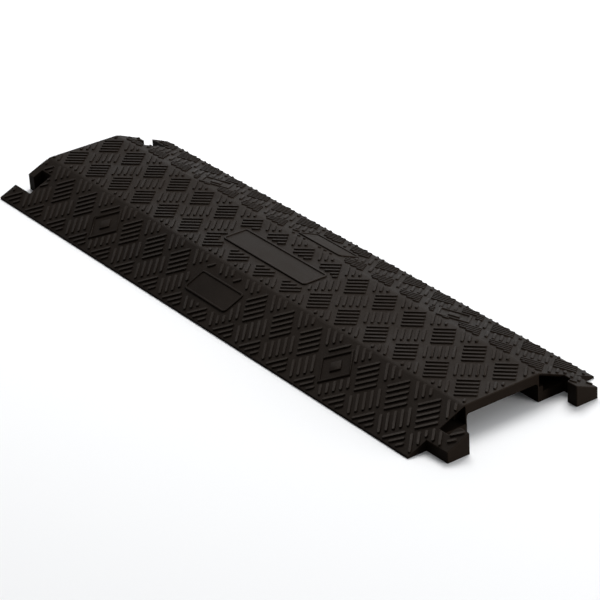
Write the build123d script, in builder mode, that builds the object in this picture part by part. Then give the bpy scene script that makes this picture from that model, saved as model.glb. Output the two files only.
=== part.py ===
from build123d import *
import math
import os

# Drop-over cable protector ramp, moulded in black polyurethane.
# Frame: X runs along the length, toward the end with the hooks. Y runs across it, from the front
# ramp to the rear ramp. Z is up. The origin is under the middle of the whole length, on the floor.

# Driving dimensions, in millimetres.
OVERALL_LENGTH = 914.4
OVERALL_WIDTH = 266.7
OVERALL_HEIGHT = 38.1
TREAD_HEIGHT = 1.8
RAMP_RUN = 80.0
TOE_HEIGHT = 2.5
TOE_WIDTH = 25.0
RIDGE_RADIUS = 12.0
RAMP_THICKNESS = 4.0
EDGE_RADIUS = 1.2

CHANNEL_WIDTH = 101.6
CHANNEL_HEIGHT = 24.0
CHANNEL_CORNER_RADIUS = 4.0
WALL_THICKNESS = 7.2

RIB_THICKNESS = 6.0
FIRST_RIB = 2
ROOT_WIDTH = 21.5
SILL_HEIGHT = 12.0
SILL_DEPTH = 30.0
WINDOW_CHAMFER = 2.6
WINDOW_DEPTH = 14.0
WINDOW_LIP = 1.5
REAR_WINDOW_FOOT = 19.0

HOOK_REACH = 36.0
HOOK_HEAD = 19.0
HOOK_OUTER = 26.0
HOOK_NECK_INNER = 44.5
HOOK_HEAD_INNER = 57.5
HOOK_CORNER_RADIUS = 6.0
HOOK_EDGE_RADIUS = 1.5

SOCKET_BLOCK = 46.0
SOCKET_LIP = 13.0
SOCKET_DEPTH = 37.2
SOCKET_MOUTH_INNER = 46.0
SOCKET_CAVITY_INNER = 60.0

TREAD_GROUPS = 16
BARS_PER_GROUP = 5
BAR_LENGTH = 27.0
BAR_WIDTH = 4.2
BAR_SPACING = 8.2
BAR_TAPER = 18.0
BAR_STEP = 0.5
SHORTEST_BAR = 4.0
BAR_ANGLE = 45
END_MARGIN = 4.0
TOE_MARGIN = 2.0
RIDGE_MARGIN = 2.6
DECK_ROWS = 2
RAMP_ROWS = 4
FRONT_ROW_INSET = 51.0
REAR_ROW_INSET = 69.0

ARTWORK_OFFSET = 7.3
ARTWORK_MARGIN = 4.5
EMBLEM_HALF_LENGTH = 27.5
EMBLEM_HALF_WIDTH = 27.5
EMBLEM_RIM = 3.6
EMBLEM_BOSS_SHARE = 0.36
FRONT_ARTWORK_INSET = 42.4
REAR_ARTWORK_INSET = 52.4
EMBLEM_PITCHES = 4.5
DECK_PLAQUE_LENGTH = 172.0
DECK_PLAQUE_WIDTH = 37.0
RAMP_PLAQUE_LENGTH = 88.0
RAMP_PLAQUE_WIDTH = 34.0
PLAQUE_CORNER_RADIUS = 5.0
PLAQUE_RIM = 2.6
PLAQUE_FIELD_HEIGHT = 0.6

# Worked out from the driving dimensions.
HALF_LENGTH = OVERALL_LENGTH / 2
HALF_WIDTH = OVERALL_WIDTH / 2
DECK_SURFACE = OVERALL_HEIGHT - TREAD_HEIGHT
FAR_END = -HALF_LENGTH
NEAR_END = HALF_LENGTH - HOOK_REACH
BODY_LENGTH = NEAR_END - FAR_END
SLOPE = (DECK_SURFACE - TOE_HEIGHT) / RAMP_RUN
SLOPE_ANGLE = math.degrees(math.atan(SLOPE))
WALL_OUTER = CHANNEL_WIDTH / 2 + WALL_THICKNESS
RAMP_INNER = HALF_WIDTH - WALL_OUTER
ROOT_INNER = TOE_WIDTH + ROOT_WIDTH
LIP_OUTER = CHANNEL_WIDTH / 2 + WINDOW_LIP
LIP_INSET = HALF_WIDTH - LIP_OUTER
WINDOW_RUN = (LIP_INSET - ROOT_INNER) / math.cos(math.radians(SLOPE_ANGLE))
RIDGE = HALF_WIDTH - RAMP_RUN
TREAD_PITCH = BODY_LENGTH / TREAD_GROUPS
ARTWORK_MIDDLE = (FAR_END + NEAR_END) / 2 + ARTWORK_OFFSET
SIDES = {"front": -1, "rear": 1}
ROW_INSET = {"front": FRONT_ROW_INSET, "rear": REAR_ROW_INSET}
ARTWORK_INSET = {"front": FRONT_ARTWORK_INSET, "rear": REAR_ARTWORK_INSET}
WINDOW_FOOT = {"front": SILL_HEIGHT, "rear": REAR_WINDOW_FOOT}
DIAGONAL = math.sqrt(0.5)


def ramp_top(inset):
    """Height of the walking surface at a distance inward from the toe edge."""
    return TOE_HEIGHT + SLOPE * inset


def across(side, inset):
    """Y position at a distance inward from one side's toe edge."""
    return SIDES[side] * (HALF_WIDTH - inset)


def section(side, inset_from, inset_to, bottom_from, bottom_to):
    """Corners, in the YZ plane, of a strip under one ramp's surface."""
    return [
        (across(side, inset_from), bottom_from),
        (across(side, inset_from), ramp_top(inset_from)),
        (across(side, inset_to), ramp_top(inset_to)),
        (across(side, inset_to), bottom_to),
    ]


def under_ramp(inset):
    """Height of the ramp skin's underside at a distance inward from the toe edge."""
    return ramp_top(inset) - RAMP_THICKNESS


def window_edge(side):
    """Sketch plane across the underside of the skin, where the near end's window starts."""
    start = (NEAR_END, across(side, ROOT_INNER), under_ramp(ROOT_INNER))
    return Plane(origin=start, x_dir=(1, 0, 0), z_dir=(0, -SIDES[side], SLOPE))


def window_wedge(side):
    """Corners, in the window_edge plane, of the chamfer under the edge over the window."""
    return [(0, 0), (-WINDOW_CHAMFER, 0), (0, SIDES[side] * WINDOW_CHAMFER)]


def plan_corners(side, inset_from, inset_to, x_from, x_to):
    """Corners, in the XY plane, of a rectangle beside one toe edge."""
    return [
        (x_from, across(side, inset_from)),
        (x_to, across(side, inset_from)),
        (x_to, across(side, inset_to)),
        (x_from, across(side, inset_to)),
    ]


def save(piece, label):
    """Label a finished piece and write its STEP file."""
    piece.part.label = label
    export_step(piece.part, f"parts/{label}.step")


# Deck plate: the flat bridge over the cable channel, with a rounded ridge along each side.
with BuildPart() as deck:
    with BuildSketch(Plane.YZ.offset(FAR_END)):
        Polygon(
            (-WALL_OUTER, CHANNEL_HEIGHT),
            (WALL_OUTER, CHANNEL_HEIGHT),
            (WALL_OUTER, ramp_top(RAMP_INNER)),
            (RIDGE, DECK_SURFACE),
            (-RIDGE, DECK_SURFACE),
            (-WALL_OUTER, ramp_top(RAMP_INNER)),
            align=None,
        )
    extrude(amount=BODY_LENGTH)
    ridge_edges = deck.edges().filter_by(Axis.X).filter_by_position(Axis.Z, DECK_SURFACE, OVERALL_HEIGHT)
    fillet(ridge_edges, radius=RIDGE_RADIUS)
    end_edges = deck.faces().filter_by(Axis.X).edges()
    top_end_edges = end_edges.filter_by_position(Axis.Z, ramp_top(RAMP_INNER) - EDGE_RADIUS, OVERALL_HEIGHT)
    fillet(top_end_edges, radius=EDGE_RADIUS)
    # At the near end, the windows beside the channel walls reach in under the ridges.
    for side, sign in SIDES.items():
        with BuildSketch(Plane.YZ.offset(NEAR_END)):
            Polygon(
                (sign * LIP_OUTER, CHANNEL_HEIGHT),
                (sign * LIP_OUTER, under_ramp(LIP_INSET)),
                (sign * WALL_OUTER, under_ramp(RAMP_INNER)),
                (sign * WALL_OUTER, CHANNEL_HEIGHT),
                align=None,
            )
        extrude(amount=-WINDOW_DEPTH, mode=Mode.SUBTRACT)
        with BuildSketch(window_edge(side)):
            Polygon(*window_wedge(side), align=None)
        extrude(amount=WINDOW_RUN, mode=Mode.SUBTRACT)
save(deck, "deck")


# Sides of the moulding: channel wall, ramp, toe, ribs, socket, hook root and hook, front and rear.
for side in SIDES:
    with BuildPart() as channel_wall:
        with BuildSketch(Plane.YZ.offset(FAR_END)):
            with BuildLine():
                sign = SIDES[side]
                inner = CHANNEL_WIDTH / 2
                corner = inner - CHANNEL_CORNER_RADIUS
                low = CHANNEL_HEIGHT - CHANNEL_CORNER_RADIUS
                bulge = CHANNEL_CORNER_RADIUS * DIAGONAL
                Polyline(
                    (sign * corner, CHANNEL_HEIGHT),
                    (sign * WALL_OUTER, CHANNEL_HEIGHT),
                    (sign * WALL_OUTER, 0),
                    (sign * inner, 0),
                    (sign * inner, low),
                )
                ThreePointArc(
                    (sign * inner, low),
                    (sign * (corner + bulge), low + bulge),
                    (sign * corner, CHANNEL_HEIGHT),
                )
            make_face()
        extrude(amount=BODY_LENGTH)
        # At the near end, the window cuts into the wall's outer side and leaves a thin lip.
        with BuildSketch(Plane.YZ.offset(NEAR_END)):
            Polygon(
                (sign * LIP_OUTER, WINDOW_FOOT[side]),
                (sign * LIP_OUTER, CHANNEL_HEIGHT),
                (sign * WALL_OUTER, CHANNEL_HEIGHT),
                (sign * WALL_OUTER, WINDOW_FOOT[side]),
                align=None,
            )
        extrude(amount=-WINDOW_DEPTH, mode=Mode.SUBTRACT)
    save(channel_wall, f"{side}_channel_wall")

    with BuildPart() as toe:
        with BuildSketch(Plane.YZ.offset(FAR_END)):
            Polygon(*section(side, 0, TOE_WIDTH, 0, 0), align=None)
        extrude(amount=BODY_LENGTH)
        nose = toe.edges().filter_by(Axis.X).sort_by_distance((0, across(side, 0), TOE_HEIGHT))[0]
        fillet(nose, radius=EDGE_RADIUS)
    save(toe, f"{side}_toe")

    with BuildPart() as ramp:
        with BuildSketch(Plane.YZ.offset(FAR_END + SOCKET_BLOCK)):
            under_toe = under_ramp(TOE_WIDTH)
            under_ridge = under_ramp(RAMP_INNER)
            Polygon(*section(side, TOE_WIDTH, RAMP_INNER, under_toe, under_ridge), align=None)
        extrude(amount=BODY_LENGTH - SOCKET_BLOCK)
        # At the near end, the edge over the open window beside the channel wall is chamfered below.
        with BuildSketch(window_edge(side)):
            Polygon(*window_wedge(side), align=None)
        extrude(amount=WINDOW_RUN, mode=Mode.SUBTRACT)
    save(ramp, f"{side}_ramp")

    # Cross ribs under the ramp, and a low sill that closes the foot of the near end's window.
    rib_places = [FAR_END + TREAD_PITCH * step for step in range(FIRST_RIB, TREAD_GROUPS)]
    rib_corners = [
        (across(side, TOE_WIDTH), 0),
        (across(side, TOE_WIDTH), under_toe),
        (across(side, RAMP_INNER), under_ridge),
        (across(side, RAMP_INNER), 0),
    ]
    with BuildPart() as ribs:
        for place in rib_places:
            with BuildSketch(Plane.YZ.offset(place - RIB_THICKNESS / 2)):
                Polygon(*rib_corners, align=None)
        extrude(amount=RIB_THICKNESS)
        with BuildSketch(Plane.YZ.offset(NEAR_END - SILL_DEPTH)):
            Polygon(
                (across(side, ROOT_INNER), 0),
                (across(side, ROOT_INNER), SILL_HEIGHT),
                (across(side, RAMP_INNER), SILL_HEIGHT),
                (across(side, RAMP_INNER), 0),
                align=None,
            )
        extrude(amount=SILL_DEPTH)
    save(ribs, f"{side}_ribs")

    # The socket is open above and below, so that the next ramp's hook drops into it from above.
    with BuildPart() as socket:
        with BuildSketch(Plane.YZ.offset(FAR_END)):
            Polygon(*section(side, TOE_WIDTH, RAMP_INNER, 0, 0), align=None)
        extrude(amount=SOCKET_BLOCK)
        with BuildSketch(Plane.XY):
            lip_end = FAR_END + SOCKET_LIP
            Polygon(*plan_corners(side, 0, SOCKET_MOUTH_INNER, FAR_END, lip_end), align=None)
            cavity_end = FAR_END + SOCKET_DEPTH
            Polygon(*plan_corners(side, 0, SOCKET_CAVITY_INNER, lip_end, cavity_end), align=None)
        extrude(amount=OVERALL_HEIGHT, mode=Mode.SUBTRACT)
    save(socket, f"{side}_socket")

    last_rib = rib_places[-1] + RIB_THICKNESS / 2
    with BuildPart() as hook_root:
        with BuildSketch(Plane.YZ.offset(last_rib)):
            Polygon(
                (across(side, TOE_WIDTH), 0),
                (across(side, TOE_WIDTH), under_toe),
                (across(side, ROOT_INNER), under_ramp(ROOT_INNER)),
                (across(side, ROOT_INNER), 0),
                align=None,
            )
        extrude(amount=NEAR_END - last_rib)
    save(hook_root, f"{side}_hook_root")

    with BuildPart() as hook:
        with BuildSketch(Plane.YZ.offset(NEAR_END)):
            Polygon(*section(side, HOOK_OUTER, HOOK_HEAD_INNER, 0, 0), align=None)
        extrude(amount=HOOK_REACH)
        head_start = HALF_LENGTH - HOOK_HEAD
        with BuildSketch(Plane.XY):
            Polygon(
                *plan_corners(side, HOOK_NECK_INNER, HOOK_HEAD_INNER, NEAR_END, head_start), align=None
            )
        extrude(amount=OVERALL_HEIGHT, mode=Mode.SUBTRACT)
        upright = hook.edges().filter_by(Axis.Z)
        inner_back = upright.sort_by_distance((head_start, across(side, HOOK_HEAD_INNER), 0))[0]
        fillet(inner_back, radius=HOOK_CORNER_RADIUS)
        tip_edges = hook.edges().filter_by(Axis.Z).filter_by_position(
            Axis.X, HALF_LENGTH - EDGE_RADIUS, HALF_LENGTH
        )
        fillet(tip_edges, radius=HOOK_EDGE_RADIUS)
        top_edges = hook.faces().sort_by(Axis.Z)[-1].edges()
        fillet(top_edges.filter_by_position(Axis.X, NEAR_END + EDGE_RADIUS, HALF_LENGTH), radius=EDGE_RADIUS)
    save(hook, f"{side}_hook")


def ramp_surface(side):
    """Sketch plane on one ramp's surface, its origin on the toe edge."""
    return Plane(origin=(0, across(side, 0), TOE_HEIGHT), x_dir=(1, 0, 0), z_dir=(0, SIDES[side] * SLOPE, 1))


def on_ramp(side, y):
    """Sketch coordinate on one ramp's surface of a plan position y."""
    return (y - across(side, 0)) / math.cos(math.radians(SLOPE_ANGLE))


def in_box(x, y, middle, half_length, half_width):
    """Whether a plan point lies in a rectangle, or within the artwork margin of it."""
    near_x = abs(x - middle[0]) < half_length + ARTWORK_MARGIN
    return near_x and abs(y - middle[1]) < half_width + ARTWORK_MARGIN


def in_diamond(x, y, middle):
    """Whether a plan point lies in an emblem, or within the artwork margin of it."""
    share = abs(x - middle[0]) / (EMBLEM_HALF_LENGTH + ARTWORK_MARGIN)
    return share + abs(y - middle[1]) / (EMBLEM_HALF_WIDTH + ARTWORK_MARGIN) < 1


def emblem_middles(side):
    """Plan positions of one ramp's two emblems."""
    y = across(side, ARTWORK_INSET[side])
    reach = EMBLEM_PITCHES * TREAD_PITCH
    return [(ARTWORK_MIDDLE - reach, y), (ARTWORK_MIDDLE + reach, y)]


def plaque_middle(side):
    """Plan position of one ramp's plaque."""
    return (ARTWORK_MIDDLE, across(side, ARTWORK_INSET[side]))


def clear_on_deck(x, y):
    """Whether the deck has tread at a plan point."""
    if abs(x - (FAR_END + NEAR_END) / 2) > BODY_LENGTH / 2 - END_MARGIN:
        return False
    if abs(y) > RIDGE - RIDGE_MARGIN:
        return False
    return not in_box(x, y, (ARTWORK_MIDDLE, 0), DECK_PLAQUE_LENGTH / 2, DECK_PLAQUE_WIDTH / 2)


def clear_on_hook(x, inset):
    """Whether the top of a hook has tread at a point."""
    if x > HALF_LENGTH - END_MARGIN or inset < HOOK_OUTER + END_MARGIN / 2:
        return False
    on_neck = inset < HOOK_NECK_INNER - END_MARGIN / 2
    on_head = x > HALF_LENGTH - HOOK_HEAD + END_MARGIN / 2 and inset < HOOK_HEAD_INNER - END_MARGIN / 2
    return on_neck or on_head


def clear_of_socket(x, inset):
    """Whether a point on a ramp is clear of the socket."""
    beside_mouth = x > FAR_END + SOCKET_LIP + END_MARGIN / 2 or inset > SOCKET_MOUTH_INNER + END_MARGIN / 2
    past_cavity = x > FAR_END + SOCKET_DEPTH + END_MARGIN / 2
    outside = inset < TOE_WIDTH - END_MARGIN / 2 or inset > SOCKET_CAVITY_INNER + END_MARGIN / 2
    before_cavity = x < FAR_END + SOCKET_LIP - END_MARGIN / 2
    return outside or past_cavity or (before_cavity and beside_mouth)


def clear_on_ramp(side, x, y):
    """Whether one ramp, or the hook that carries on from it, has tread at a plan point."""
    inset = HALF_WIDTH - abs(y)
    if inset < TOE_MARGIN or inset > RAMP_RUN - RIDGE_MARGIN or x < FAR_END + END_MARGIN:
        return False
    if x > NEAR_END - END_MARGIN / 2:
        return clear_on_hook(x, inset)
    if any(in_diamond(x, y, middle) for middle in emblem_middles(side)):
        return False
    if in_box(x, y, plaque_middle(side), RAMP_PLAQUE_LENGTH / 2, RAMP_PLAQUE_WIDTH / 2):
        return False
    return clear_of_socket(x, inset)


def clear_stretch(x, y, lean, clear):
    """Longest clear stretch of the bar through a point, as its two ends along the bar."""
    steps = round(BAR_LENGTH / 2 / BAR_STEP)
    best = []
    run = []
    for step in range(-steps, steps + 1):
        along = step * BAR_STEP
        if clear(x + along * DIAGONAL, y + lean * along * DIAGONAL):
            run.append(along)
        else:
            run = []
        if len(run) > len(best):
            best = list(run)
    return (best[0], best[-1]) if best else (0, 0)


def tread_bars(rows, clear):
    """Bars of a tread, grouped by length and lean.

    Each row is its y position and its lean: 1 for groups that lean along +X +Y and stand half a
    pitch from the ends, and -1 for groups that lean along +X -Y and stand on whole pitches.
    """
    bars = {}
    for row_y, lean in rows:
        first = 0.5 if lean == 1 else 0.0
        for group in range(TREAD_GROUPS + 1):
            group_x = FAR_END + TREAD_PITCH * (first + group)
            for number in range(BARS_PER_GROUP):
                beside = (number - (BARS_PER_GROUP - 1) / 2) * BAR_SPACING * DIAGONAL
                x = group_x + beside
                y = row_y - lean * beside
                start, end = clear_stretch(x, y, lean, clear)
                if end - start < SHORTEST_BAR:
                    continue
                middle = (start + end) / 2 * DIAGONAL
                bars.setdefault((end - start, lean), []).append((x + middle, y + lean * middle))
    return bars


# Tread on the deck: rows of five-bar groups, leaning one way and the other in turn.
with BuildPart() as deck_tread:
    deck_rows = [
        (TREAD_PITCH / 2 * row, 1 if row % 2 else -1) for row in range(-DECK_ROWS, DECK_ROWS + 1)
    ]
    with BuildSketch(Plane.XY.offset(DECK_SURFACE)):
        for (length, lean), middles in tread_bars(deck_rows, clear_on_deck).items():
            with Locations(*middles):
                Rectangle(length, BAR_WIDTH, rotation=BAR_ANGLE * lean)
    extrude(amount=TREAD_HEIGHT, taper=BAR_TAPER)
save(deck_tread, "deck_tread")


def ramp_rows(side):
    """Rows of groups on one ramp, as tread_bars takes them. Their pitch is kept along the slope."""
    step = TREAD_PITCH / 2 * math.cos(math.radians(SLOPE_ANGLE))
    rows = [(across(side, ROW_INSET[side] - step * row), -1 if row % 2 else 1) for row in range(RAMP_ROWS)]
    if side == "front":
        # The deck's outer row carries on over the front ridge.
        rows.append((-TREAD_PITCH / 2 * DECK_ROWS, -1))
    return rows


# Tread on the ramps and on the tops of the hooks.
for side in SIDES:
    with BuildPart() as ramp_tread:
        stretch = 1 / math.cos(math.radians(SLOPE_ANGLE))
        bars = tread_bars(ramp_rows(side), lambda x, y: clear_on_ramp(side, x, y))
        with BuildSketch(ramp_surface(side)):
            for (length, lean), middles in bars.items():
                with Locations(*[(x, on_ramp(side, y)) for x, y in middles]):
                    Rectangle(
                        length * math.sqrt((1 + stretch**2) / 2),
                        BAR_WIDTH,
                        rotation=lean * math.degrees(math.atan(stretch)),
                    )
        extrude(amount=TREAD_HEIGHT, taper=BAR_TAPER)
    save(ramp_tread, f"{side}_ramp_tread")

    # Two raised diamonds on each ramp, each a rim round a plain boss.
    with BuildPart() as emblems:
        half_length = EMBLEM_HALF_LENGTH
        half_width = EMBLEM_HALF_WIDTH * stretch
        diamond = [(-half_length, 0), (0, -half_width), (half_length, 0), (0, half_width)]
        places = [(x, on_ramp(side, y)) for x, y in emblem_middles(side)]
        hollow = 1 - EMBLEM_RIM * math.hypot(half_length, half_width) / (half_length * half_width)
        with BuildSketch(ramp_surface(side)):
            with Locations(*places):
                Polygon(*diamond, align=None)
                Polygon(*[(hollow * x, hollow * y) for x, y in diamond], align=None, mode=Mode.SUBTRACT)
                boss = [(EMBLEM_BOSS_SHARE * x, EMBLEM_BOSS_SHARE * y) for x, y in diamond]
                Polygon(*boss, align=None)
        extrude(amount=TREAD_HEIGHT, taper=BAR_TAPER)
    save(emblems, f"{side}_emblems")


# Blank raised plaques: a low field inside a rim, one on the deck and one on each ramp.
plaques = {
    "deck": (Plane.XY.offset(DECK_SURFACE), (ARTWORK_MIDDLE, 0), DECK_PLAQUE_LENGTH, DECK_PLAQUE_WIDTH)
}
for side in SIDES:
    x, y = plaque_middle(side)
    spot = (x, on_ramp(side, y))
    plaques[side] = (ramp_surface(side), spot, RAMP_PLAQUE_LENGTH, RAMP_PLAQUE_WIDTH)
for owner, (surface, spot, length, width) in plaques.items():
    with BuildPart() as plaque:
        with BuildSketch(surface):
            with Locations(spot):
                RectangleRounded(length, width, PLAQUE_CORNER_RADIUS)
        extrude(amount=PLAQUE_FIELD_HEIGHT)
        with BuildSketch(surface):
            with Locations(spot):
                RectangleRounded(length, width, PLAQUE_CORNER_RADIUS)
                RectangleRounded(
                    length - 2 * PLAQUE_RIM,
                    width - 2 * PLAQUE_RIM,
                    PLAQUE_CORNER_RADIUS - PLAQUE_RIM,
                    mode=Mode.SUBTRACT,
                )
        extrude(amount=TREAD_HEIGHT)
    save(plaque, f"{owner}_plaque")
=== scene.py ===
"""A drop-over cable protector ramp in black moulded polyurethane, on a pale studio floor.

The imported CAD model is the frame. Its plain regions keep their shape and get a material. The raised
tread, emblems and plaques are replaced by softened copies, because moulded edges are round.
"""

import logging
import math
from dataclasses import dataclass, field
from enum import Enum

import bmesh
import bpy
from mathutils import Matrix, Vector


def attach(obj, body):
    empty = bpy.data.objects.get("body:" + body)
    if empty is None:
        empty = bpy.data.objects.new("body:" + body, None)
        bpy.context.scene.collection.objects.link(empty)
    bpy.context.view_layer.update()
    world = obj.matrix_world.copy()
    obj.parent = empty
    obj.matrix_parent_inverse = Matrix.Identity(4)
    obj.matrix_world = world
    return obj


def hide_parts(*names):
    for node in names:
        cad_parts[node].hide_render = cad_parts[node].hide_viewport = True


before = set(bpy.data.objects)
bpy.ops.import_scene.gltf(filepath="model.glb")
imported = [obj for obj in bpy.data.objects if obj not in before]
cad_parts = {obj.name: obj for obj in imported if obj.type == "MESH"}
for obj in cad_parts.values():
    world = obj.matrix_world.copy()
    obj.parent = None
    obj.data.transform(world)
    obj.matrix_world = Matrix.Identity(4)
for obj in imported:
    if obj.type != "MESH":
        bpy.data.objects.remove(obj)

log = logging.getLogger("cable_ramp")

MM = 0.001
BODY = "root"
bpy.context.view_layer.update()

# Colour sockets of Blender's mix node.
MIX_FIRST = 6
MIX_SECOND = 7
MIX_RESULT = 2

# Name of the value that tells the tread's finish where the top of a bar is.
CREST = "crest"


class Slot(Enum):
    """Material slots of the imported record."""

    MOULDING = "moulding"
    TREAD = "tread"
    ARTWORK = "artwork"


class Side(Enum):
    """The two long sides of the ramp."""

    FRONT = "front"
    REAR = "rear"


# ---------------------------------------------------------------------------------------------
# Shader building
# ---------------------------------------------------------------------------------------------


@dataclass
class Wiring:
    """Adds nodes and links to one node tree.

    Attributes:
        tree: the node tree that is being built.
    """

    tree: bpy.types.NodeTree

    def add(self, kind: str, label: str, **values: object) -> bpy.types.Node:
        """Adds a node.

        Args:
            kind: the node's type name.
            label: a name for the node.
            **values: attributes of the node to set.

        Returns:
            The new node.
        """
        node = self.tree.nodes.new(kind)
        node.name = label
        node.label = label
        for key, value in values.items():
            setattr(node, key, value)
        return node

    def feed(self, target: bpy.types.NodeSocket, source: object) -> None:
        """Links a socket to a source, or sets its value.

        Args:
            target: the input socket.
            source: an output socket to link, or a plain value to set.
        """
        if isinstance(source, bpy.types.NodeSocket):
            self.tree.links.new(source, target)
        else:
            target.default_value = source

    def noise(
        self, label: str, vector: object, scale: object, detail: float = 3.0, roughness: float = 0.5
    ) -> bpy.types.NodeSocket:
        """Adds a noise texture and returns its value.

        Args:
            label: a name for the node.
            vector: the coordinates to read.
            scale: how many features there are in a metre.
            detail: how many octaves are added.
            roughness: how strong each further octave is.

        Returns:
            The noise value's socket.
        """
        node = self.add("ShaderNodeTexNoise", label)
        self.feed(node.inputs["Vector"], vector)
        self.feed(node.inputs["Scale"], scale)
        self.feed(node.inputs["Detail"], detail)
        self.feed(node.inputs["Roughness"], roughness)
        return node.outputs["Fac"]

    def remap(
        self, label: str, value: object, low: float, high: float, to: tuple[float, float]
    ) -> bpy.types.NodeSocket:
        """Maps a range of values to another one, smoothly and clamped.

        Args:
            label: a name for the node.
            value: the value to map.
            low: the value that maps to the first end.
            high: the value that maps to the second end.
            to: the two ends.

        Returns:
            The mapped value's socket.
        """
        node = self.add("ShaderNodeMapRange", label, interpolation_type="SMOOTHSTEP")
        self.feed(node.inputs["Value"], value)
        self.feed(node.inputs["From Min"], low)
        self.feed(node.inputs["From Max"], high)
        self.feed(node.inputs["To Min"], to[0])
        self.feed(node.inputs["To Max"], to[1])
        return node.outputs["Result"]

    def math(self, label: str, operation: str, a: object, b: object = 0.0) -> bpy.types.NodeSocket:
        """Adds a math node with two inputs.

        Args:
            label: a name for the node.
            operation: the operation's name.
            a: the first input.
            b: the second input.

        Returns:
            The result's socket.
        """
        node = self.add("ShaderNodeMath", label, operation=operation)
        self.feed(node.inputs[0], a)
        self.feed(node.inputs[1], b)
        return node.outputs[0]

    def mix(self, label: str, factor: object, a: object, b: object) -> bpy.types.NodeSocket:
        """Mixes two colours.

        Args:
            label: a name for the node.
            factor: 0 for the first colour and 1 for the second.
            a: the first colour.
            b: the second colour.

        Returns:
            The mixed colour's socket.
        """
        node = self.add("ShaderNodeMix", label, data_type="RGBA")
        self.feed(node.inputs["Factor"], factor)
        self.feed(node.inputs[MIX_FIRST], a)
        self.feed(node.inputs[MIX_SECOND], b)
        return node.outputs[MIX_RESULT]


def new_group(name: str, inputs: dict[str, float], outputs: list[str]) -> tuple[Wiring, dict, dict]:
    """Makes an empty shader node group.

    Args:
        name: the group's name.
        inputs: the names and defaults of its value inputs.
        outputs: the names of its value outputs.

    Returns:
        The group's wiring, its input sockets and its output sockets, by name.
    """
    tree = bpy.data.node_groups.new(name, "ShaderNodeTree")
    for label, default in inputs.items():
        socket = tree.interface.new_socket(name=label, in_out="INPUT", socket_type="NodeSocketFloat")
        socket.default_value = default
    for label in outputs:
        tree.interface.new_socket(name=label, in_out="OUTPUT", socket_type="NodeSocketFloat")
    wiring = Wiring(tree)
    entry = wiring.add("NodeGroupInput", "inputs")
    leave = wiring.add("NodeGroupOutput", "outputs")
    return wiring, dict(entry.outputs.items()), dict(leave.inputs.items())


class Effect(Enum):
    """Shader groups that several finishes share."""

    GRAIN = "moulded_grain"
    DUST = "settled_dust"
    FLOW = "casting_flow"


# The fine grain and the bubbles, as shares of the orange peel's own scale and height.
FINE_SCALE = 3.4
FINE_HEIGHT = 0.35
BUBBLE_SCALE = 0.22

# How many specks of dust and how many scuffs there are in a metre.
SPECK_SCALE = 900.0
SCUFF_SCALE = 120.0

# The streaks are drawn out along the casting, which is why X has the low scale.
STREAK_SCALE = (3.0, 55.0, 55.0)


def build_grain_group() -> None:
    """Builds the grain of cast polyurethane: a fine orange peel, with pin holes from small bubbles."""
    wiring, given, out = new_group(Effect.GRAIN.value, {"Scale": 700.0, "Pits": 0.35}, ["Height"])
    place = wiring.add("ShaderNodeTexCoord", "place").outputs["Object"]
    peel = wiring.noise("peel", place, given["Scale"], detail=2.0, roughness=0.45)
    finer = wiring.math("finer", "MULTIPLY", given["Scale"], FINE_SCALE)
    fine = wiring.noise("fine", place, finer, detail=1.0)
    bubbles = wiring.add("ShaderNodeTexVoronoi", "bubbles", feature="F1", distance="EUCLIDEAN")
    wiring.feed(bubbles.inputs["Vector"], place)
    bubble_scale = wiring.math("bubble_scale", "MULTIPLY", given["Scale"], BUBBLE_SCALE)
    wiring.feed(bubbles.inputs["Scale"], bubble_scale)
    hole = wiring.remap("hole", bubbles.outputs["Distance"], 0.05, 0.14, (1.0, 0.0))
    sparse = wiring.remap("sparse", bubbles.outputs["Color"], 0.72, 0.8, (0.0, 1.0))
    pit = wiring.math("pit", "MULTIPLY", wiring.math("sparse_hole", "MULTIPLY", hole, sparse), given["Pits"])
    fine_share = wiring.math("fine_share", "MULTIPLY", fine, FINE_HEIGHT)
    height = wiring.math("peel_and_fine", "ADD", peel, fine_share)
    wiring.feed(out["Height"], wiring.math("less_pits", "SUBTRACT", height, pit))


def build_dust_group() -> None:
    """Builds a thin dust that settles on surfaces that face up, in patches."""
    wiring, given, out = new_group(Effect.DUST.value, {"Amount": 0.3, "Patch Scale": 14.0}, ["Mask"])
    place = wiring.add("ShaderNodeTexCoord", "place").outputs["Object"]
    normal = wiring.add("ShaderNodeNewGeometry", "surface").outputs["Normal"]
    split = wiring.add("ShaderNodeSeparateXYZ", "facing")
    wiring.feed(split.inputs[0], normal)
    up = wiring.remap("facing_up", split.outputs["Z"], 0.2, 0.95, (0.0, 1.0))
    patch = wiring.noise("patches", place, given["Patch Scale"], detail=5.0, roughness=0.62)
    speckle = wiring.noise("speckle", place, SPECK_SCALE, detail=2.0, roughness=0.7)
    broken = wiring.remap("broken", wiring.math("add_speckle", "ADD", patch, speckle), 0.86, 1.3, (0.0, 1.0))
    settled = wiring.math("on_top", "MULTIPLY", up, broken)
    wiring.feed(out["Mask"], wiring.math("amount", "MULTIPLY", settled, given["Amount"]))


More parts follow.
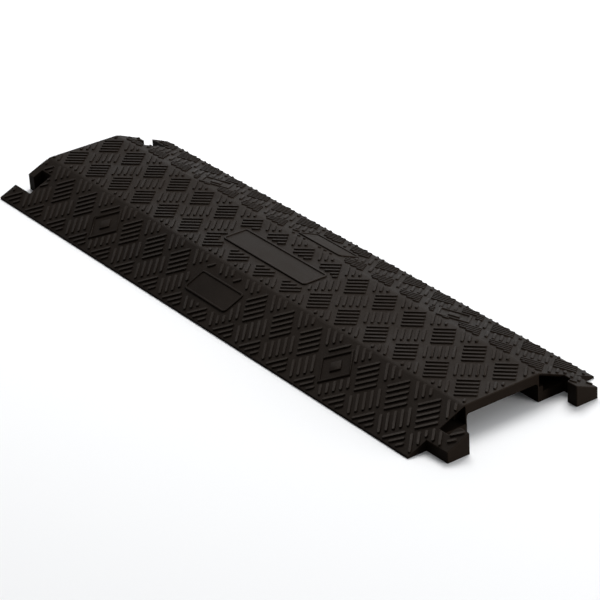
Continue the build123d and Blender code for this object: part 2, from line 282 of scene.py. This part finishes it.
def build_flow_group() -> None:
    """Builds the cloudy tone of a casting: broad mottling, and faint streaks along its length."""
    inputs = {"Mottle Scale": 9.0, "Streaks": 0.4}
    wiring, given, out = new_group(Effect.FLOW.value, inputs, ["Cloud", "Wear"])
    place = wiring.add("ShaderNodeTexCoord", "place").outputs["Object"]
    cloud = wiring.noise("cloud", place, given["Mottle Scale"], detail=4.0, roughness=0.55)
    stretch = wiring.add("ShaderNodeMapping", "along_length")
    wiring.feed(stretch.inputs["Vector"], place)
    stretch.inputs["Scale"].default_value = STREAK_SCALE
    streak = wiring.noise("streak", stretch.outputs["Vector"], 1.0, detail=3.0)
    streak_share = wiring.math("streak_share", "MULTIPLY", streak, given["Streaks"])
    both = wiring.math("cloud_and_streak", "ADD", cloud, streak_share)
    wiring.feed(out["Cloud"], wiring.remap("cloud_range", both, 0.45, 0.95, (0.0, 1.0)))
    scuff = wiring.noise("scuff", place, SCUFF_SCALE, detail=6.0, roughness=0.75)
    wiring.feed(out["Wear"], wiring.remap("wear_range", scuff, 0.56, 0.72, (0.0, 1.0)))


@dataclass(frozen=True)
class CastRubber:
    """A black moulded polyurethane finish.

    Attributes:
        name: the material's name.
        shade: the deep colour.
        haze: the colour where the casting is cloudier.
        dust: the colour of settled dust.
        roughness: roughness where smoothest and where dullest.
        grain_scale: how many grain features there are in a metre.
        grain_depth: height of the grain in metres.
        dust_amount: how much dust settles.
        crest_shine: how much the crest of a raised bar is polished.
        scuff_dulling: how much roughness a scuff adds.
        dust_dulling: how much roughness full dust adds.
        index: the refractive index.
        specular: how strong the mirror reflection is.
        specular_tint: the colour of the mirror reflection.
    """

    name: str
    shade: tuple[float, float, float, float] = (0.0062, 0.0042, 0.0030, 1.0)
    haze: tuple[float, float, float, float] = (0.0094, 0.0066, 0.0049, 1.0)
    dust: tuple[float, float, float, float] = (0.030, 0.025, 0.021, 1.0)
    roughness: tuple[float, float] = (0.46, 0.6)
    grain_scale: float = 700.0
    grain_depth: float = 0.00012
    dust_amount: float = 0.25
    crest_shine: float = 0.0
    scuff_dulling: float = 0.05
    dust_dulling: float = 0.3
    index: float = 1.5
    specular: float = 0.06
    specular_tint: tuple[float, float, float, float] = (1.0, 0.76, 0.58, 1.0)

    def build(self) -> bpy.types.Material:
        """Builds the material's nodes.

        Returns:
            The material.
        """
        material = bpy.data.materials.new(self.name)
        material.use_nodes = True
        wiring = Wiring(material.node_tree)
        wiring.tree.nodes.clear()
        surface = wiring.add("ShaderNodeBsdfPrincipled", "surface")
        output = wiring.add("ShaderNodeOutputMaterial", "output")
        wiring.feed(output.inputs["Surface"], surface.outputs["BSDF"])

        grain = self._group(wiring, Effect.GRAIN)
        grain.inputs["Scale"].default_value = self.grain_scale
        dust = self._group(wiring, Effect.DUST)
        dust.inputs["Amount"].default_value = self.dust_amount
        flow = self._group(wiring, Effect.FLOW)

        tone = wiring.mix("cloudy_tone", flow.outputs["Cloud"], self.shade, self.haze)
        dusty = wiring.mix("dusty_tone", dust.outputs["Mask"], tone, self.dust)
        dull = wiring.remap("dull", flow.outputs["Cloud"], 0.0, 1.0, self.roughness)
        scuff = wiring.math("scuff", "MULTIPLY", flow.outputs["Wear"], self.scuff_dulling)
        scuffed = wiring.math("scuffed", "ADD", dull, scuff)
        dust_rough = wiring.math("dust_rough", "MULTIPLY", dust.outputs["Mask"], self.dust_dulling)
        rough = wiring.math("dusty_rough", "ADD", scuffed, dust_rough)
        if self.crest_shine:
            crest = wiring.add("ShaderNodeAttribute", "crest", attribute_name=CREST)
            top = wiring.remap("crest_top", crest.outputs["Fac"], 0.55, 1.0, (0.0, self.crest_shine))
            rough = wiring.math("polished_crest", "SUBTRACT", rough, top)
        wiring.feed(surface.inputs["Base Color"], dusty)
        wiring.feed(surface.inputs["Roughness"], rough)
        surface.inputs["IOR"].default_value = self.index
        surface.inputs["Specular IOR Level"].default_value = self.specular
        surface.inputs["Specular Tint"].default_value = self.specular_tint
        bump = wiring.add("ShaderNodeBump", "grain_bump")
        bump.inputs["Strength"].default_value = 1.0
        bump.inputs["Distance"].default_value = self.grain_depth
        wiring.feed(bump.inputs["Height"], grain.outputs["Height"])
        wiring.feed(surface.inputs["Normal"], bump.outputs["Normal"])
        return material

    @staticmethod
    def _group(wiring: Wiring, effect: Effect) -> bpy.types.Node:
        """Places a shared shader group in a material.

        Args:
            wiring: the material's wiring.
            effect: which shared group to place.

        Returns:
            The group's node.
        """
        node = wiring.add("ShaderNodeGroup", effect.value)
        node.node_tree = bpy.data.node_groups[effect.value]
        return node


@dataclass
class Finishes:
    """The finish of each material slot."""

    by_slot: dict[Slot, bpy.types.Material] = field(default_factory=dict)

    def build(self) -> None:
        """Builds the shared groups and then one material for each slot."""
        build_grain_group()
        build_dust_group()
        build_flow_group()
        recipes = {
            Slot.MOULDING: CastRubber("cast_polyurethane"),
            Slot.TREAD: CastRubber("tread_polyurethane", crest_shine=0.04, dust_amount=0.15),
            Slot.ARTWORK: CastRubber("smooth_polyurethane", grain_depth=0.00007, roughness=(0.44, 0.56)),
        }
        for slot, recipe in recipes.items():
            self.by_slot[slot] = recipe.build()
            log.info("finish %s for slot %s", recipe.name, slot.value)


# ---------------------------------------------------------------------------------------------
# Sub-assemblies
# ---------------------------------------------------------------------------------------------

# Corners closer together than this are one corner, and faces that turn by less are one face.
MERGE_WITHIN = 0.001 * MM
FLAT_WITHIN = math.radians(1.0)

# How far a normal points up, as its Z: over the first value for a top face, and within the second, up or
# down, for a side face.
TOP_LEAN = 0.85
SIDE_LEAN = 0.7

# Edges that turn by more than this are rounded, or shaded as sharp.
UPRIGHT_TURN = math.radians(30.0)
RIM_TURN = math.radians(20.0)
SHARP_TURN = math.radians(50.0)


@dataclass
class Casting:
    """The plain regions of the moulding, which keep their CAD shape.

    Attributes:
        regions: node names that both sides have, without the side.
    """

    regions: tuple[str, ...] = ("channel_wall", "toe", "ramp", "ribs", "socket", "hook_root", "hook")

    def nodes(self) -> list[str]:
        """Lists the nodes that keep their CAD shape.

        Returns:
            The nodes' names.
        """
        return ["deck"] + [f"{side.value}_{region}" for side in Side for region in self.regions]

    def dress(self, finishes: Finishes) -> None:
        """Gives each node the moulded finish.

        Args:
            finishes: the finish of each slot.
        """
        for name in self.nodes():
            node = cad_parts[name]
            node.data.materials.clear()
            node.data.materials.append(finishes.by_slot[Slot.MOULDING])
            log.info("dressed %s", name)


@dataclass
class RaisedRelief:
    """Raised shapes on one surface, copied from a CAD node and softened as a mould leaves them.

    Attributes:
        node: the CAD node that the copy stands for.
        slot: the material slot of the finish.
        corner: how far the upright corners are rounded, in metres.
        crest: how far the upper edges are rounded, in metres.
        segments: how many steps there are in each rounding.
    """

    node: str
    slot: Slot
    corner: float
    crest: float
    segments: int = 2

    def build(self, finishes: Finishes) -> bpy.types.Object:
        """Builds the softened copy.

        Args:
            finishes: the finish of each slot.

        Returns:
            The new piece.
        """
        shape = bmesh.new()
        shape.from_mesh(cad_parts[self.node].data)
        for face in shape.faces:
            face.smooth = False
        bmesh.ops.remove_doubles(shape, verts=shape.verts, dist=MERGE_WITHIN)
        bmesh.ops.dissolve_limit(
            shape,
            angle_limit=FLAT_WITHIN,
            verts=shape.verts,
            edges=shape.edges,
            use_dissolve_boundaries=False,
        )
        self._round(shape, self._uprights(shape), self.corner)
        self._round(shape, self._rims(shape), self.crest)
        self._mark_crest(shape)
        mesh = bpy.data.meshes.new(f"{self.node}_relief")
        shape.to_mesh(mesh)
        shape.free()
        mesh.set_sharp_from_angle(angle=SHARP_TURN)
        mesh.materials.append(finishes.by_slot[self.slot])
        piece = bpy.data.objects.new(f"{self.node}_relief", mesh)
        bpy.context.scene.collection.objects.link(piece)
        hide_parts(self.node)
        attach(piece, BODY)
        log.info("built %s with %d faces", piece.name, len(mesh.polygons))
        return piece

    def _round(self, shape: bmesh.types.BMesh, edges: list[bmesh.types.BMEdge], offset: float) -> None:
        """Rounds edges, if there is anything to round, and shades only the roundings smoothly.

        Args:
            shape: the shape that is being softened.
            edges: the edges to round.
            offset: how far each rounding reaches, in metres.
        """
        if edges and offset > 0:
            rounding = bmesh.ops.bevel(
                shape,
                geom=edges,
                offset=offset,
                offset_type="OFFSET",
                segments=self.segments,
                profile=0.5,
                affect="EDGES",
                clamp_overlap=True,
                material=-1,
            )
            for face in rounding["faces"]:
                face.smooth = True

    @staticmethod
    def _uprights(shape: bmesh.types.BMesh) -> list[bmesh.types.BMEdge]:
        """Finds the edges that climb from the surface to the top, at the outward corners.

        Args:
            shape: the shape to search.

        Returns:
            The edges.
        """
        chosen = []
        for edge in shape.edges:
            if len(edge.link_faces) == 2 and all(abs(face.normal.z) < SIDE_LEAN for face in edge.link_faces):
                if edge.calc_face_angle_signed(0.0) > UPRIGHT_TURN:
                    chosen.append(edge)
        return chosen

    @staticmethod
    def _rims(shape: bmesh.types.BMesh) -> list[bmesh.types.BMEdge]:
        """Finds the edges between a top face and a face beside it, at the outward corners.

        Args:
            shape: the shape to search.

        Returns:
            The edges.
        """
        chosen = []
        for edge in shape.edges:
            if len(edge.link_faces) != 2:
                continue
            lower, upper = sorted(face.normal.z for face in edge.link_faces)
            if upper > TOP_LEAN > lower > -SIDE_LEAN and edge.calc_face_angle_signed(0.0) > RIM_TURN:
                chosen.append(edge)
        return chosen

    @staticmethod
    def _mark_crest(shape: bmesh.types.BMesh) -> None:
        """Stores how much each corner belongs to a face that looks up, for the polish of the crest.

        Args:
            shape: the shape that gets the values.
        """
        crest = shape.verts.layers.float.new(CREST)
        shape.normal_update()
        for vert in shape.verts:
            vert[crest] = max(face.normal.z for face in vert.link_faces)


@dataclass
class Relief:
    """All the raised work: tread, emblems and plaques."""

    def build(self, finishes: Finishes) -> None:
        """Builds every raised piece.

        Args:
            finishes: the finish of each slot.
        """
        owners = ["deck"] + [side.value for side in Side]
        treads = ["deck_tread"] + [f"{side.value}_ramp_tread" for side in Side]
        for node in treads:
            RaisedRelief(node, Slot.TREAD, corner=1.5 * MM, crest=0.35 * MM).build(finishes)
        for side in Side:
            emblems = RaisedRelief(f"{side.value}_emblems", Slot.ARTWORK, corner=0.6 * MM, crest=0.6 * MM)
            emblems.build(finishes)
        for owner in owners:
            RaisedRelief(f"{owner}_plaque", Slot.ARTWORK, corner=0.0, crest=0.5 * MM).build(finishes)


# ---------------------------------------------------------------------------------------------
# Studio
# ---------------------------------------------------------------------------------------------


@dataclass(frozen=True)
class SoftBox:
    """A large soft light.

    Attributes:
        name: the light's name.
        direction: where it stands, seen from the object.
        distance: how far away it stands, in metres.
        size: its width and height in metres.
        power: its power in watts.
    """

    name: str
    direction: tuple[float, float, float]
    distance: float
    size: tuple[float, float]
    power: float

    def build(self) -> None:
        """Adds the light, turned to the object."""
        data = bpy.data.lights.new(self.name, "AREA")
        data.shape = "RECTANGLE"
        data.size, data.size_y = self.size
        data.energy = self.power
        light = bpy.data.objects.new(self.name, data)
        bpy.context.scene.collection.objects.link(light)
        away = Vector(self.direction).normalized()
        light.location = away * self.distance
        light.rotation_mode = "QUATERNION"
        light.rotation_quaternion = (-away).to_track_quat("-Z", "Y")
        log.info("light %s", self.name)


@dataclass
class Studio:
    """Floor, lights, surroundings and camera.

    Attributes:
        azimuth: the camera's direction round the object, in degrees; 0 looks along +Y.
        elevation: the camera's height above the horizon, in degrees.
        roll: how far the camera leans, in degrees.
        distance: from the camera to the point it looks at, in metres.
        target: the point that the camera looks at, in metres.
        lens: the focal length in millimetres.
        sensor: the sensor's width in millimetres.
        clip: the nearest and farthest distances that the camera sees, in metres.
        floor_size: the floor's side in metres.
        floor_drop: how far the floor lies under the feet of the ramp, in metres.
        floor_thrown: the floor's colour as it lights the object.
        floor_seen: the floor's colour as the camera sees it.
        room_seen: the room's colour as the camera sees it.
        room_light: the colour of the room's light.
        room_strength: the strength of the room's light in front and behind.
    """

    azimuth: float = 55.75
    elevation: float = 27.57
    roll: float = 3.49
    distance: float = 3.063
    target: tuple[float, float, float] = (0.0447, -0.0042, 0.0)
    lens: float = 151.92
    sensor: float = 36.0
    clip: tuple[float, float] = (0.05, 100.0)
    floor_size: float = 24.0
    floor_drop: float = 0.2 * MM
    floor_thrown: tuple[float, float, float, float] = (0.3, 0.3, 0.3, 1.0)
    floor_seen: tuple[float, float, float, float] = (0.88, 0.88, 0.88, 1.0)
    room_seen: tuple[float, float, float, float] = (0.93, 0.93, 0.93, 1.0)
    room_light: tuple[float, float, float, float] = (0.95, 0.97, 1.0, 1.0)
    room_strength: tuple[float, float] = (0.16, 0.62)

    def build(self) -> None:
        """Builds the floor, the lights, the surroundings and the camera."""
        self._colour_management()
        self._floor()
        self._surroundings()
        boxes = [
            SoftBox("back_panel", (-0.62, 0.78, 0.34), 3.2, (3.6, 1.5), 14.0),
            SoftBox("rear_key", (-0.35, 0.5, 1.0), 3.0, (2.2, 1.6), 85.0),
            SoftBox("end_fill", (0.9, 0.42, 0.13), 3.4, (1.6, 0.6), 80.0),
        ]
        for box in boxes:
            box.build()
        self._camera()

    @staticmethod
    def _colour_management() -> None:
        """Shows colours as they are, without a film look."""
        bpy.context.scene.view_settings.view_transform = "Standard"

    def _floor(self) -> None:
        """Adds the pale floor, just under the feet of the ramp."""
        shape = bmesh.new()
        bmesh.ops.create_grid(shape, x_segments=1, y_segments=1, size=self.floor_size / 2)
        bmesh.ops.translate(shape, verts=shape.verts, vec=(0.0, 0.0, -self.floor_drop))
        mesh = bpy.data.meshes.new("studio_floor")
        shape.to_mesh(mesh)
        shape.free()
        mesh.materials.append(self._floor_paper())
        floor = bpy.data.objects.new("studio_floor", mesh)
        bpy.context.scene.collection.objects.link(floor)

    def _floor_paper(self) -> bpy.types.Material:
        """Makes the floor's pale paper, which throws only part of its light back up at the object.

        Returns:
            The material.
        """
        material = bpy.data.materials.new("pale_floor")
        material.use_nodes = True
        wiring = Wiring(material.node_tree)
        surface = wiring.tree.nodes["Principled BSDF"]
        surface.inputs["Roughness"].default_value = 0.9
        path = wiring.add("ShaderNodeLightPath", "path")
        seen = path.outputs["Is Camera Ray"]
        shade = wiring.mix("thrown_or_seen", seen, self.floor_thrown, self.floor_seen)
        wiring.feed(surface.inputs["Base Color"], shade)
        return material

    def _surroundings(self) -> None:
        """Fills the room with a pale light that is stronger behind the object, toward +Y."""
        world = bpy.data.worlds.new("studio_room")
        world.use_nodes = True
        wiring = Wiring(world.node_tree)
        wiring.tree.nodes.clear()
        seen = wiring.add("ShaderNodeBackground", "seen")
        seen.inputs["Color"].default_value = self.room_seen
        lighting = wiring.add("ShaderNodeBackground", "lighting")
        lighting.inputs["Color"].default_value = self.room_light
        split = wiring.add("ShaderNodeSeparateXYZ", "direction")
        wiring.feed(split.inputs[0], wiring.add("ShaderNodeTexCoord", "room").outputs["Generated"])
        glow = wiring.remap("brighter_behind", split.outputs["Y"], -0.75, 0.45, self.room_strength)
        wiring.feed(lighting.inputs["Strength"], glow)
        path = wiring.add("ShaderNodeLightPath", "path")
        choose = wiring.add("ShaderNodeMixShader", "choose")
        output = wiring.add("ShaderNodeOutputWorld", "output")
        wiring.feed(choose.inputs["Fac"], path.outputs["Is Camera Ray"])
        wiring.feed(choose.inputs[1], lighting.outputs["Background"])
        wiring.feed(choose.inputs[2], seen.outputs["Background"])
        wiring.feed(output.inputs["Surface"], choose.outputs["Shader"])
        bpy.context.scene.world = world

    def _camera(self) -> None:
        """Adds the camera, at its angle, distance and lean."""
        turn, height = math.radians(self.azimuth), math.radians(self.elevation)
        level = math.cos(height)
        back = Vector((math.sin(turn) * level, -math.cos(turn) * level, math.sin(height)))
        data = bpy.data.cameras.new("camera")
        data.lens = self.lens
        data.sensor_width = self.sensor
        data.clip_start, data.clip_end = self.clip
        camera = bpy.data.objects.new("camera", data)
        bpy.context.scene.collection.objects.link(camera)
        upright = (-back).to_track_quat("-Z", "Y").to_matrix()
        lean = Matrix.Rotation(math.radians(-self.roll), 3, "Z")
        camera.rotation_mode = "QUATERNION"
        camera.rotation_quaternion = (upright @ lean).to_quaternion()
        camera.location = Vector(self.target) + back * self.distance
        bpy.context.scene.camera = camera


def main() -> None:
    """Builds the finishes, the object and the studio, in order."""
    logging.basicConfig(level=logging.INFO, format="%(name)s: %(message)s")
    finishes = Finishes()
    finishes.build()
    Casting().dress(finishes)
    Relief().build(finishes)
    Studio().build()


if __name__ == "__main__":
    main()
